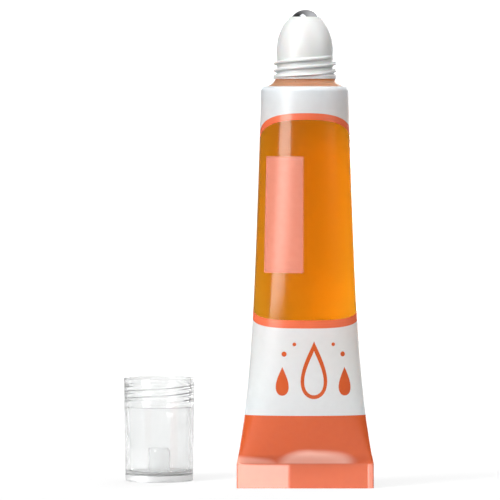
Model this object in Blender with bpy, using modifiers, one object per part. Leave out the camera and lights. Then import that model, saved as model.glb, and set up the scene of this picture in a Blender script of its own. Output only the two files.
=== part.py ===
"""Cuticle oil rollerball: a squeeze tube with a captive steel ball in a domed head, its clear screw cap
standing beside it. Metres, +Z up along the tube towards the ball, with the origin in the middle of the
flat edge at the sealed end. The wide side of the seal lies along X."""

import math

import bmesh
import bpy
from mathutils import Matrix

# Sleeve: an extruded tube, left round at the shoulder and pressed flat and welded at the other end.
TUBE_DIAMETER = 0.0190
SLEEVE_LENGTH = 0.0859
SLEEVE_WALL = 0.00045
RIM_ROUND = 0.00115
SEAL_HEIGHT = 0.0052
CREASE_HEIGHT = 0.0022
SLIT_HALF_DEPTH = 0.00025
LINEAR_TAPER_SHARE = 0.5
TAPER_POWER = 5

# Shoulder and neck, one clear moulding.
SHOULDER_WALL = 0.0008
SKIRT_DEPTH = 0.0024
CONE_ANGLE = math.radians(22)
COLLAR_DIAMETER = 0.0132
COLLAR_HEIGHT = 0.00096
NECK_WALL = 0.0008
NECK_HEIGHT = 0.00325
SNAP_BEAD = 0.00025
SNAP_BEAD_HEIGHT = 0.0008
SNAP_BEAD_RISE = 0.0014

# Ball: a 9/32 inch steel ball.
BALL_DIAMETER = 0.00714
BALL_CLEARANCE = 0.0001
BALL_RISE = 0.00633

# Housing: the white domed head. Its thread is on the cylinder below the dome.
THREAD_ROOT_DIAMETER = 0.01204
HOUSING_WALL = 0.00082
FOOT_DIAMETER = 0.0136
FOOT_HEIGHT = 0.00045
THREAD_ZONE_HEIGHT = 0.0043
DOME_DIAMETER = 0.0122
DOME_STRAIGHT = 0.0010
LIP_LATITUDE = math.radians(34.5)
LIP_EDGE = 0.0002
LIP_HEIGHT = 0.0007
LIP_ROOT_WALL = 0.00035
LIP_LEDGE = 0.00014
SOCKET_DEPTH = 0.0010

# Ball seat: the insert that carries the ball and meters the oil.
SEAT_RIM_WALL = 0.00053
SEAT_FLANGE_HEIGHT = 0.0007
SEAT_FLOOR = 0.0008
SEAT_SKIRT_WALL = 0.0008
SEAT_SKIRT_DEPTH = 0.0017
FEED_HOLE_DIAMETER = 0.0018
FEED_SLOT_WIDTH = 0.0008
FEED_SLOT_LENGTH = 0.0013
FEED_SLOT_RADIUS = 0.0021
FEED_SLOT_COUNT = 4

# Cap: clear, standing on its closed end behind and to the left of the tube.
CAP_HEIGHT = 0.0224
CAP_RIM_DIAMETER = 0.0154
CAP_BASE_DIAMETER = 0.0148
CAP_WALL = 0.0010
CAP_THREAD_WALL = 0.0008
CAP_THREAD_DEPTH = 0.0063
CAP_FLOOR = 0.0019
CAP_FLOOR_ROUND = 0.0015
CAP_EDGE_ROUND = 0.0004
CAP_BOSS_DIAMETER = 0.0048
CAP_BOSS_WALL = 0.00045
CAP_BOSS_HEIGHT = 0.0053
CAP_STAND_X = -0.0316
CAP_STAND_Y = 0.0245

# Clearance between pieces that seat on each other, and how far a cutter runs past what it cuts.
FIT_GAP = 0.0003
CUT_OVERRUN = 0.001

ROUND_SIDES = 48
TAPER_ROWS = 10
ROW_CROWDING = 1.5
CREASE_ROWS = 3
ROUND_ROWS = 4
BALL_SEGMENTS = 32
BALL_RINGS = 18
MERGE_DISTANCE = 0.00001

# Radii that follow from the sizes above, from the outside inwards.
tube_radius = TUBE_DIAMETER / 2
mouth_radius = tube_radius - RIM_ROUND
skirt_radius = tube_radius - SLEEVE_WALL - FIT_GAP
skirt_bore = skirt_radius - SHOULDER_WALL
cone_radius = mouth_radius - FIT_GAP
collar_radius = COLLAR_DIAMETER / 2
collar_bore = collar_radius - SHOULDER_WALL
root_radius = THREAD_ROOT_DIAMETER / 2
housing_bore = root_radius - HOUSING_WALL
neck_radius = housing_bore - FIT_GAP
neck_bore = neck_radius - NECK_WALL
seat_skirt_radius = neck_bore - FIT_GAP
seat_bore = seat_skirt_radius - SEAT_SKIRT_WALL
ball_radius = BALL_DIAMETER / 2
socket_radius = ball_radius + BALL_CLEARANCE
seat_radius = socket_radius + SEAT_RIM_WALL
housing_seat_bore = seat_radius + FIT_GAP
seat_flange_radius = housing_bore - FIT_GAP

# Heights, from the rim of the sleeve up to the ball.
rim_centre_z = SLEEVE_LENGTH - RIM_ROUND
skirt_bottom_z = rim_centre_z - SKIRT_DEPTH
taper_top_z = skirt_bottom_z
cone_rise = (cone_radius - collar_radius) * math.tan(CONE_ANGLE)
collar_bottom_z = SLEEVE_LENGTH + cone_rise
collar_top_z = collar_bottom_z + COLLAR_HEIGHT
neck_top_z = collar_top_z + NECK_HEIGHT + FIT_GAP
bead_bottom_z = collar_top_z + SNAP_BEAD_RISE
bead_top_z = bead_bottom_z + SNAP_BEAD_HEIGHT
housing_foot_z = collar_top_z + FIT_GAP
thread_bottom_z = housing_foot_z + FOOT_HEIGHT
dome_foot_z = thread_bottom_z + THREAD_ZONE_HEIGHT
dome_centre_z = dome_foot_z + DOME_STRAIGHT
seat_flange_bottom_z = neck_top_z + FIT_GAP
seat_flange_top_z = seat_flange_bottom_z + SEAT_FLANGE_HEIGHT
housing_ledge_z = seat_flange_top_z + FIT_GAP
seat_skirt_bottom_z = seat_flange_bottom_z - SEAT_SKIRT_DEPTH
ball_z = housing_ledge_z + BALL_RISE
socket_step_z = ball_z - SOCKET_DEPTH
seat_rim_z = socket_step_z - FIT_GAP
seat_floor_z = ball_z - socket_radius - SEAT_FLOOR

# The seal is two walls thick, and as wide as the pressed circumference makes it.
seal_half_depth = SLEEVE_WALL
seal_half_width = (math.pi * TUBE_DIAMETER / 2 + 2 * seal_half_depth * (1 - math.pi / 2)) / 2


def clear_scene():
    for obj in list(bpy.data.objects):
        bpy.data.objects.remove(obj, do_unlink=True)


def new_collection(name, parent):
    collection = bpy.data.collections.new(name)
    parent.children.link(collection)
    return collection


def plastic(name, colour, roughness, metallic=0.0, alpha=1.0):
    material = bpy.data.materials.new(name)
    material.use_nodes = True
    shader = material.node_tree.nodes["Principled BSDF"]
    shader.inputs["Base Color"].default_value = (*colour, 1.0)
    shader.inputs["Roughness"].default_value = roughness
    shader.inputs["Metallic"].default_value = metallic
    shader.inputs["Alpha"].default_value = alpha
    material.diffuse_color = (*colour, alpha)
    return material


def add_object(name, mesh, collection, material=None):
    obj = bpy.data.objects.new(name, mesh)
    collection.objects.link(obj)
    if material:
        mesh.materials.append(material)
    return obj


def arc(centre, radius, start, end, count):
    """Points of an arc about centre (r, z), from one angle to another, both ends included."""
    points = []
    for step in range(count + 1):
        angle = start + (end - start) * step / count
        points.append((centre[0] + radius * math.cos(angle), centre[1] + radius * math.sin(angle)))
    return points


def turned(name, profile, collection, material=None, closed=True):
    """A body of revolution about Z. The profile is (radius, height) and runs down its outer side."""
    mesh = bpy.data.meshes.new(name)
    count = len(profile)
    edges = [(index, index + 1) for index in range(count - 1)]
    if closed:
        edges.append((count - 1, 0))
    mesh.from_pydata([(radius, 0.0, height) for radius, height in profile], edges, [])
    obj = add_object(name, mesh, collection, material)
    screw = obj.modifiers.new("turn", "SCREW")
    screw.axis = "Z"
    screw.angle = 2 * math.pi
    screw.steps = ROUND_SIDES
    screw.render_steps = ROUND_SIDES
    screw.use_merge_vertices = True
    screw.merge_threshold = MERGE_DISTANCE
    screw.use_smooth_shade = True
    return obj


def lofted(name, rings, collection, material):
    """A closed body through rings of equal point counts, with a flat cap on the first and the last."""
    mesh = bpy.data.meshes.new(name)
    work = bmesh.new()
    rows = [[work.verts.new(point) for point in ring] for ring in rings]
    for lower, upper in zip(rows, rows[1:]):
        for index in range(ROUND_SIDES):
            after = (index + 1) % ROUND_SIDES
            work.faces.new((lower[index], lower[after], upper[after], upper[index]))
    work.faces.new(list(reversed(rows[0])))
    work.faces.new(rows[-1])
    bmesh.ops.recalc_face_normals(work, faces=work.faces)
    work.to_mesh(mesh)
    work.free()
    mesh.shade_smooth()
    mesh.set_sharp_from_angle(angle=math.radians(40))
    return add_object(name, mesh, collection, material)


def ellipse_perimeter(half_width, half_depth):
    """Ramanujan's formula, good to a millionth here."""
    ratio = ((half_width - half_depth) / (half_width + half_depth)) ** 2
    return math.pi * (half_width + half_depth) * (1 + 3 * ratio / (10 + math.sqrt(4 - 3 * ratio)))


def solved(function, target, low, high):
    """The argument where a rising function reaches the target, found by halving the interval."""
    for _ in range(50):
        middle = (low + high) / 2
        if function(middle) < target:
            low = middle
        else:
            high = middle
    return (low + high) / 2


def half_width_at(z):
    """Half the sleeve's width: round at the shoulder, flaring faster and faster towards the seal."""
    flatness = min(max((taper_top_z - z) / (taper_top_z - SEAL_HEIGHT), 0.0), 1.0)
    flare = LINEAR_TAPER_SHARE * flatness + (1 - LINEAR_TAPER_SHARE) * flatness**TAPER_POWER
    return tube_radius + (seal_half_width - tube_radius) * flare


def ellipse_half_depth_at(z):
    """Half the sleeve's depth: the film doesn't stretch, so every section keeps the same perimeter."""
    half_width = half_width_at(z)
    if half_width <= tube_radius:
        return tube_radius
    perimeter = math.pi * TUBE_DIAMETER
    return solved(lambda depth: ellipse_perimeter(half_width, depth), perimeter, 0.0, tube_radius)


def pressed_share_at(z):
    """How far the section has turned from an ellipse to the flat seal: 1 on the seal, 0 above the crease."""
    rise = min(max((z - SEAL_HEIGHT) / CREASE_HEIGHT, 0.0), 1.0)
    return (1 - rise) ** 2


def half_depth_at(z):
    pressed = pressed_share_at(z)
    return pressed * seal_half_depth + (1 - pressed) * ellipse_half_depth_at(z)


def seal_outline(x, half_width):
    """Half the depth of the seal's section at x: flat faces with rounded edges."""
    past_flat = max(abs(x) - (half_width - seal_half_depth), 0.0)
    return math.sqrt(max(seal_half_depth**2 - past_flat**2, 0.0))


def sleeve_ring(z, inset):
    """The sleeve's section at this height, drawn in by inset on its wide and its narrow side."""
    half_width = half_width_at(z)
    pressed = pressed_share_at(z)
    bulge = (1 - pressed) * ellipse_half_depth_at(z)
    width_share = (half_width - inset) / half_width
    depth_share = (half_depth_at(z) - inset) / half_depth_at(z)
    ring = []
    for index in range(ROUND_SIDES):
        angle = 2 * math.pi * index / ROUND_SIDES
        x = half_width * math.cos(angle)
        flat = pressed * math.copysign(seal_outline(x, half_width), math.sin(angle))
        y = bulge * math.sin(angle) + flat
        if index in (0, ROUND_SIDES // 2):
            y = 0.0
        ring.append((x * width_share, y * depth_share, z))
    return ring


def round_ring(radius, z):
    ring = []
    for index in range(ROUND_SIDES):
        angle = 2 * math.pi * index / ROUND_SIDES
        ring.append((radius * math.cos(angle), radius * math.sin(angle), z))
    return ring


def taper_heights(floor_z):
    """Rows of the flattened part from floor_z up, closer together near the seal, where it bends most."""
    crease_top_z = SEAL_HEIGHT + CREASE_HEIGHT
    heights = []
    if floor_z < crease_top_z:
        for step in range(CREASE_ROWS):
            heights.append(floor_z + (crease_top_z - floor_z) * step / CREASE_ROWS)
    start_z = max(floor_z, crease_top_z)
    for step in range(TAPER_ROWS + 1):
        heights.append(start_z + (taper_top_z - start_z) * (step / TAPER_ROWS) ** ROW_CROWDING)
    return heights


def floor_for(half_depth):
    """The lowest height at which half the sleeve's depth reaches this value."""
    return solved(half_depth_at, half_depth, SEAL_HEIGHT, taper_top_z)


def make_sleeve(collection):
    """Seal, flaring body and rolled rim outside, then the cavity back down to a narrow slit."""
    rings = [sleeve_ring(0.0, 0.0)]
    rings += [sleeve_ring(z, 0.0) for z in taper_heights(SEAL_HEIGHT)]
    rim_centre = (mouth_radius, rim_centre_z)
    quarter = math.pi / 2
    rim = arc(rim_centre, RIM_ROUND, 0.0, quarter, ROUND_ROWS)
    rim += arc(rim_centre, RIM_ROUND - SLEEVE_WALL, quarter, 0.0, ROUND_ROWS)
    rings += [round_ring(radius, z) for radius, z in rim]
    cavity_floor_z = floor_for(SLEEVE_WALL + SLIT_HALF_DEPTH)
    rings += [sleeve_ring(z, SLEEVE_WALL) for z in reversed(taper_heights(cavity_floor_z))]
    film = plastic("printed_tube_film", (0.93, 0.90, 0.88), 0.30)
    return lofted("tube_sleeve", rings, collection, film)


def make_oil(collection):
    """The oil stands in the sleeve, up through the collar and into the neck, clear of every wall."""
    inset = SLEEVE_WALL + FIT_GAP
    floor_z = floor_for(inset + SLIT_HALF_DEPTH)
    rings = [sleeve_ring(z, inset) for z in taper_heights(floor_z)[:-1]]
    slope = math.tan(CONE_ANGLE)
    body_radius = skirt_bore - FIT_GAP
    column_radius = neck_bore - FIT_GAP
    collar_oil_radius = collar_bore - FIT_GAP
    cone_foot_z = collar_bottom_z - SHOULDER_WALL - FIT_GAP - (body_radius - collar_oil_radius) * slope
    steps = [
        (skirt_radius, skirt_bottom_z - FIT_GAP),
        (body_radius, skirt_bottom_z - FIT_GAP),
        (body_radius, cone_foot_z),
        (collar_oil_radius, collar_bottom_z - SHOULDER_WALL - FIT_GAP),
        (collar_oil_radius, collar_top_z - SHOULDER_WALL - FIT_GAP),
        (column_radius, collar_top_z - SHOULDER_WALL - FIT_GAP),
        (column_radius, seat_skirt_bottom_z - FIT_GAP),
    ]
    rings += [round_ring(radius, z) for radius, z in steps]
    oil = plastic("cuticle_oil", (0.80, 0.33, 0.03), 0.05, alpha=0.8)
    return lofted("oil_fill", rings, collection, oil)


def make_shoulder(collection):
    """A skirt inside the sleeve, a cone, the collar and the plain neck with its snap bead."""
    rebate_radius = RIM_ROUND - SLEEVE_WALL - FIT_GAP
    slope = math.tan(CONE_ANGLE)
    profile = [
        (neck_bore, neck_top_z),
        (neck_radius, neck_top_z),
        (neck_radius, bead_top_z),
        (neck_radius + SNAP_BEAD, bead_top_z - SNAP_BEAD),
        (neck_radius + SNAP_BEAD, bead_bottom_z + SNAP_BEAD),
        (neck_radius, bead_bottom_z),
        (neck_radius, collar_top_z),
        (collar_radius, collar_top_z),
        (collar_radius, collar_bottom_z),
        (cone_radius, SLEEVE_LENGTH),
        (cone_radius, rim_centre_z + rebate_radius),
    ]
    profile += arc((mouth_radius, rim_centre_z), rebate_radius, math.pi / 2, 0.0, ROUND_ROWS)
    cone_under_z = collar_bottom_z - SHOULDER_WALL
    profile += [
        (skirt_radius, skirt_bottom_z),
        (skirt_bore, skirt_bottom_z),
        (skirt_bore, cone_under_z - (skirt_bore - collar_bore) * slope),
        (collar_bore, cone_under_z),
        (collar_bore, collar_top_z - SHOULDER_WALL),
        (neck_bore, collar_top_z - SHOULDER_WALL),
    ]
    clear = plastic("clear_shoulder", (0.86, 0.84, 0.80), 0.10, alpha=0.45)
    return turned("tube_shoulder", profile, collection, clear)


def make_housing(collection):
    """The dome is a quarter ellipse from the thread's top to the lip, over the ball's socket."""
    lip_top_z = ball_z + socket_radius * math.sin(LIP_LATITUDE)
    lip_foot_z = lip_top_z - LIP_HEIGHT
    lip_bore = socket_radius * math.cos(LIP_LATITUDE)
    lip_root_radius = math.sqrt(socket_radius**2 - (lip_foot_z - ball_z) ** 2) + LIP_ROOT_WALL
    dome_radius = DOME_DIAMETER / 2
    dome_top = (lip_root_radius + LIP_LEDGE, lip_foot_z - LIP_LEDGE)
    side_share = dome_top[0] / dome_radius
    dome_reach = (dome_top[1] - dome_centre_z) / math.sqrt(1 - side_share**2)
    profile = [
        (lip_bore + LIP_EDGE, lip_top_z),
        (lip_root_radius, lip_foot_z),
    ]
    start = math.acos(side_share)
    dome_rows = 2 * ROUND_ROWS
    for step in range(dome_rows + 1):
        angle = start * (1 - step / dome_rows)
        profile.append((dome_radius * math.cos(angle), dome_centre_z + dome_reach * math.sin(angle)))
    foot_radius = FOOT_DIAMETER / 2
    groove_radius = housing_bore + SNAP_BEAD
    profile += [
        (dome_radius, dome_foot_z),
        (root_radius, dome_foot_z),
        (root_radius, thread_bottom_z + FOOT_HEIGHT),
        (foot_radius, thread_bottom_z),
        (foot_radius, housing_foot_z),
        (housing_bore, housing_foot_z),
        (housing_bore, bead_bottom_z - FIT_GAP),
        (groove_radius, bead_bottom_z - FIT_GAP + SNAP_BEAD),
        (groove_radius, bead_top_z + FIT_GAP - SNAP_BEAD),
        (housing_bore, bead_top_z + FIT_GAP),
        (housing_bore, housing_ledge_z),
        (housing_seat_bore, housing_ledge_z),
        (housing_seat_bore, socket_step_z),
        (socket_radius, socket_step_z),
    ]
    profile += arc((0.0, ball_z), socket_radius, 0.0, LIP_LATITUDE, ROUND_ROWS)
    white = plastic("white_polypropylene", (0.90, 0.90, 0.90), 0.32)
    return turned("roller_housing", profile, collection, white)


def make_seat(collection, cutters):
    """A cup under the ball, with a flange between neck and housing, a plug skirt and the oil ways."""
    hole_radius = FEED_HOLE_DIAMETER / 2
    hole_angle = math.acos(hole_radius / socket_radius)
    rim_angle = math.asin((ball_z - seat_rim_z) / socket_radius)
    profile = [
        (seat_radius, seat_rim_z),
        (seat_radius, seat_flange_top_z),
        (seat_flange_radius, seat_flange_top_z),
        (seat_flange_radius, seat_flange_bottom_z),
        (seat_skirt_radius, seat_flange_bottom_z),
        (seat_skirt_radius, seat_skirt_bottom_z),
        (seat_bore, seat_skirt_bottom_z),
        (seat_bore, seat_floor_z),
        (hole_radius, seat_floor_z),
    ]
    profile += arc((0.0, ball_z), socket_radius, -hole_angle, -rim_angle, ROUND_ROWS)
    natural = plastic("natural_polyethylene", (0.85, 0.86, 0.84), 0.40)
    seat = turned("ball_seat", profile, collection, natural)
    slot_bottom_z = seat_floor_z - CUT_OVERRUN
    slot_height = ball_z - slot_bottom_z
    for number in range(FEED_SLOT_COUNT):
        angle = 2 * math.pi * (number + 0.5) / FEED_SLOT_COUNT
        mesh = bpy.data.meshes.new(f"feed_slot_{number}")
        work = bmesh.new()
        bmesh.ops.create_cube(work, size=1.0)
        size = (FEED_SLOT_LENGTH, FEED_SLOT_WIDTH, slot_height)
        bmesh.ops.scale(work, vec=size, verts=work.verts)
        middle_z = slot_bottom_z + slot_height / 2
        bmesh.ops.translate(work, vec=(FEED_SLOT_RADIUS, 0.0, middle_z), verts=work.verts)
        bmesh.ops.transform(work, matrix=Matrix.Rotation(angle, 4, "Z"), verts=work.verts)
        work.to_mesh(mesh)
        work.free()
        cutter = add_object(f"feed_slot_{number}", mesh, cutters)
        cutter.display_type = "WIRE"
        cutter.hide_render = True
        cut = seat.modifiers.new(f"slot_{number}", "BOOLEAN")
        cut.operation = "DIFFERENCE"
        cut.solver = "EXACT"
        cut.object = cutter
    return seat


def make_ball(collection):
    mesh = bpy.data.meshes.new("roller_ball")
    work = bmesh.new()
    bmesh.ops.create_uvsphere(work, u_segments=BALL_SEGMENTS, v_segments=BALL_RINGS, radius=ball_radius)
    work.to_mesh(mesh)
    work.free()
    mesh.shade_smooth()
    steel = plastic("polished_steel", (0.62, 0.62, 0.63), 0.12, metallic=1.0)
    ball = add_object("roller_ball", mesh, collection, steel)
    ball.location = (0.0, 0.0, ball_z)
    return ball


def cap_radius_at(z):
    return (CAP_BASE_DIAMETER + (CAP_RIM_DIAMETER - CAP_BASE_DIAMETER) * z / CAP_HEIGHT) / 2


def make_cap(collection):
    """A drafted cup with a thinner wall where its thread is, and a ring boss that closes on the ball."""
    boss_radius = CAP_BOSS_DIAMETER / 2
    boss_bore = boss_radius - CAP_BOSS_WALL
    boss_top_z = CAP_FLOOR + CAP_BOSS_HEIGHT
    step_z = CAP_HEIGHT - CAP_THREAD_DEPTH
    corner = (cap_radius_at(CAP_FLOOR) - CAP_WALL - CAP_FLOOR_ROUND, CAP_FLOOR + CAP_FLOOR_ROUND)
    thread_bore = cap_radius_at(CAP_HEIGHT) - CAP_THREAD_WALL
    quarter = math.pi / 2
    profile = [
        (0.0, CAP_FLOOR),
        (boss_bore, CAP_FLOOR),
        (boss_bore, boss_top_z),
        (boss_radius, boss_top_z),
        (boss_radius, CAP_FLOOR),
    ]
    profile += arc(corner, CAP_FLOOR_ROUND, -quarter, 0.0, ROUND_ROWS)
    profile += [
        (cap_radius_at(step_z) - CAP_WALL, step_z),
        (thread_bore, step_z),
        (thread_bore, CAP_HEIGHT),
        (cap_radius_at(CAP_HEIGHT), CAP_HEIGHT),
    ]
    edge = (cap_radius_at(0.0) - CAP_EDGE_ROUND, CAP_EDGE_ROUND)
    profile += arc(edge, CAP_EDGE_ROUND, 0.0, -quarter, ROUND_ROWS)
    profile.append((0.0, 0.0))
    clear = plastic("clear_polystyrene", (0.88, 0.90, 0.91), 0.05, alpha=0.30)
    cap = turned("screw_cap", profile, collection, clear, closed=False)
    cap.location = (CAP_STAND_X, CAP_STAND_Y, 0.0)
    return cap


def main():
    clear_scene()
    parts = new_collection("cuticle_oil_rollerball", bpy.context.scene.collection)
    cutters = new_collection("cutters", bpy.context.scene.collection)
    cutters.hide_render = True
    root = bpy.data.objects.new("rollerball_origin", None)
    parts.objects.link(root)
    pieces = [
        make_sleeve(parts),
        make_oil(parts),
        make_shoulder(parts),
        make_housing(parts),
        make_seat(parts, cutters),
        make_ball(parts),
        make_cap(parts),
    ]
    for piece in pieces:
        piece.parent = root


main()
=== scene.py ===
"""Looks for the cuticle oil rollerball: a squeeze tube with a captive steel ball, and its clear screw cap.
Metres, +Z up along the tube, as in the frame that it is built around."""

import math

import bmesh
import bpy
import numpy as np
from mathutils import Matrix, Vector
from mathutils.geometry import delaunay_2d_cdt


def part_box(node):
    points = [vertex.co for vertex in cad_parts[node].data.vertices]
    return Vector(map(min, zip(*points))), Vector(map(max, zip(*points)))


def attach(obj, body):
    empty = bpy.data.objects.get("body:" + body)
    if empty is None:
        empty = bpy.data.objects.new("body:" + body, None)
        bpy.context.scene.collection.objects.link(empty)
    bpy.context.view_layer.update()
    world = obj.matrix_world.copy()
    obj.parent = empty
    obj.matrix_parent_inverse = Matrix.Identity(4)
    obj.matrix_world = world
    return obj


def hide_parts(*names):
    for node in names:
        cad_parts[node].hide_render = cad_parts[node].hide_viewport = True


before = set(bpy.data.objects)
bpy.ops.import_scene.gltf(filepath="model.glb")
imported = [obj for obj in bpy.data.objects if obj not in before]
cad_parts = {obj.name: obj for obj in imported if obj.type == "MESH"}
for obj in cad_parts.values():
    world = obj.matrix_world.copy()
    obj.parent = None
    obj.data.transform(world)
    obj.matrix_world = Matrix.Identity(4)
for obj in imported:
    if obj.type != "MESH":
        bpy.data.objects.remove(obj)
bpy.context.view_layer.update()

# Camera: level with the tube's shoulder and more than a metre away, so that the tube is seen almost
# without perspective. The tube stands right of the middle of the picture, with room for its cap at the left.
CAMERA_DISTANCE = 1.2
EYE_HEIGHT = 0.085
PICTURE_SPAN = 0.10675
PICTURE_MIDDLE = (-0.0118, 0.05096)
SENSOR_WIDTH = 36.0

camera_data = bpy.data.cameras.new("camera")
camera = bpy.data.objects.new("camera", camera_data)
bpy.context.scene.collection.objects.link(camera)
camera.location = (PICTURE_MIDDLE[0], -CAMERA_DISTANCE, EYE_HEIGHT)
aim = Vector((PICTURE_MIDDLE[0], 0.0, PICTURE_MIDDLE[1])) - camera.location
camera.rotation_euler = aim.to_track_quat("-Z", "Y").to_euler()
camera_data.sensor_width = SENSOR_WIDTH
camera_data.lens = SENSOR_WIDTH * aim.length / PICTURE_SPAN
bpy.context.scene.camera = camera
bpy.context.scene.view_settings.view_transform = "Standard"


# Roller ball: a hardened stainless steel ball, ground and polished like one from a bearing. It is held
# captive by the lip of the housing and turns on the film of oil that it carries out.
BALL_CUTS = 39
LAPPING_MARK = 0.00019
SHARP_ANGLE = math.radians(50)


def linear(colour):
    """A hex colour in sRGB as the linear RGBA that the shaders take."""
    channels = [int(colour[index:index + 2], 16) / 255 for index in (1, 3, 5)]
    curve = [value / 12.92 if value <= 0.04045 else ((value + 0.055) / 1.055) ** 2.4 for value in channels]
    return (*curve, 1.0)


def add_node(tree, kind, inputs=None, **settings):
    """A node with its settings. An input is a value, a socket, or a node whose first output it takes."""
    node = tree.nodes.new(kind)
    for name, value in settings.items():
        setattr(node, name, value)
    for name, value in (inputs or {}).items():
        if isinstance(value, bpy.types.Node):
            value = value.outputs[0]
        if isinstance(value, bpy.types.NodeSocket):
            tree.links.new(value, node.inputs[name])
        else:
            node.inputs[name].default_value = value
    return node


def new_material(name, colour, **values):
    """A material with its Principled BSDF set, and its tree and shader for the nodes to come."""
    material = bpy.data.materials.new(name)
    material.use_nodes = True
    shader = material.node_tree.nodes["Principled BSDF"]
    shader.inputs["Base Color"].default_value = linear(colour)
    for socket, value in values.items():
        shader.inputs[socket.replace("_", " ")].default_value = value
    return material, material.node_tree, shader


def add_piece(name, mesh, body, slot, *nodes):
    """A finished mesh as a piece that rides on a body and stands for CAD nodes. Its slot is not used."""
    piece = bpy.data.objects.new(name, mesh)
    bpy.context.scene.collection.objects.link(piece)
    mesh.shade_smooth()
    mesh.set_sharp_from_angle(angle=SHARP_ANGLE)
    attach(piece, body)
    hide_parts(*nodes)
    return piece


def box_middle(node):
    low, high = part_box(node)
    return (low + high) / 2


ball_centre = box_middle("roller_ball")
ball_low, ball_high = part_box("roller_ball")
ball_radius = (ball_high.z - ball_low.z) / 2
work = bmesh.new()
bmesh.ops.create_cube(work, size=2.0)
bmesh.ops.subdivide_edges(work, edges=work.edges[:], cuts=BALL_CUTS, use_grid_fill=True)
for vertex in work.verts:
    spread = Vector([math.tan(math.pi / 4 * value) for value in vertex.co])
    vertex.co = ball_centre + spread.normalized() * ball_radius
ball_mesh = bpy.data.meshes.new("steel_ball")
work.to_mesh(ball_mesh)
work.free()

# Polished stainless steel: near white metal that mirrors the room. Its lapping marks are drawn far coarser
# than the real ones, which are too fine to show, and only soften the gloss a little.
steel, tree, shader = new_material("polished_stainless_steel", "#C4C5C8", Metallic=1.0, Roughness=0.07)
place = add_node(tree, "ShaderNodeTexCoord").outputs["Object"]
lapping = add_node(tree, "ShaderNodeTexNoise", {"Vector": place, "Scale": 1 / LAPPING_MARK, "Detail": 3.0})
gloss = add_node(tree, "ShaderNodeMapRange", {"Value": lapping, "To Min": 0.05, "To Max": 0.10})
tree.links.new(gloss.outputs[0], shader.inputs["Roughness"])
ball_mesh.materials.append(steel)
add_piece("steel_ball", ball_mesh, "ball", "steel_ball", "roller_ball")


# Ball seat: the insert below the ball, moulded in natural polyethylene, with its feed hole and slots.
# It is pressed between the neck and the housing before the housing snaps on, so little of it shows.
SEAT_FLOW = 0.0011

# Natural polyethylene is left without a pigment: a waxy, milky white with faint clouds from its flow.
natural, tree, shader = new_material(
    "natural_polyethylene", "#E4E6E1", Roughness=0.42, Subsurface_Weight=0.25, Subsurface_Scale=0.001
)
place = add_node(tree, "ShaderNodeTexCoord").outputs["Object"]
flow = add_node(tree, "ShaderNodeTexNoise", {"Vector": place, "Scale": 1 / SEAT_FLOW, "Detail": 2.0})
cloud = add_node(
    tree, "ShaderNodeMix", {0: flow, 6: linear("#DDE0DA"), 7: linear("#ECEDE8")}, data_type="RGBA"
)
tree.links.new(cloud.outputs[2], shader.inputs["Base Color"])
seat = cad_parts["ball_seat"]
seat.data.materials.clear()
seat.data.materials.append(natural)


# Roller housing: the white domed head, injection moulded in polypropylene, with the lip that keeps the
# ball in, a right-hand screw thread that unscrews from the mould, and a flange. It snaps on to the neck.
COLUMNS = 192
THREAD_PITCH = 0.00154
THREAD_STARTS = 2.0
HOUSING_TURNS = 1.5
HOUSING_THREAD_DROP = 0.000066
HOUSING_RIDGE = 0.00070
RIDGE_FOOT = 0.00050
RIDGE_CREST = 0.00012
RUN_OUT = 0.26
THREAD_ROW = 0.00007
THREAD_ROOT_RADIUS = 0.00602
HOUSING_WALL = 0.00082
FOOT_FLANGE = 0.00045
THREAD_ZONE = 0.0043
THREAD_MARGIN = 0.0003
DOME_RADIUS = 0.0061
DOME_STRAIGHT = 0.0010
DOME_ROWS = 32
SOCKET_CLEARANCE = 0.0001
SOCKET_DEPTH = 0.0010
LIP_LATITUDE = math.radians(34.5)
LIP_EDGE = 0.0002
LIP_HEIGHT = 0.0007
LIP_ROOT_WALL = 0.00035
LIP_LEDGE = 0.00025
LIP_LEDGE_FALL = 0.00016
LIP_ROWS = 8
FOOT_GAP = 0.0003
SEAT_BORE = 0.0045
SEAT_BORE_HEIGHT = 0.0053
EDGE_SOFTNESS = 0.00008
MERGE_DISTANCE = 1e-6
SKIN_GRAIN = 0.00038


def arc(centre, radius, start, end, count):
    """Points of an arc about centre (radius, height), both ends included."""
    angles = [start + (end - start) * step / count for step in range(count + 1)]
    return [(centre[0] + radius * math.cos(angle), centre[1] + radius * math.sin(angle)) for angle in angles]


def softened(corners, rows=3):
    """A closed outline from (radius, height) points, where a third value rounds that corner off."""
    points = []
    for index, corner in enumerate(corners):
        here = Vector(corner[:2])
        if len(corner) == 2:
            points.append(tuple(here))
            continue
        before = Vector(corners[index - 1][:2]) - here
        after = Vector(corners[(index + 1) % len(corners)][:2]) - here
        start = here + before.normalized() * min(corner[2], before.length / 2)
        end = here + after.normalized() * min(corner[2], after.length / 2)
        for step in range(rows + 1):
            share = step / rows
            pull = here * 2 * share * (1 - share)
            points.append(tuple(start * (1 - share) ** 2 + pull + end * share ** 2))
    return points


def divided(points, longest):
    """The same closed outline with no side longer than this."""
    fine = []
    for index, point in enumerate(points):
        here, after = Vector(point), Vector(points[(index + 1) % len(points)])
        parts = max(math.ceil((after - here).length / longest), 1)
        fine += [tuple(here.lerp(after, part / parts)) for part in range(parts)]
    return fine


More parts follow.
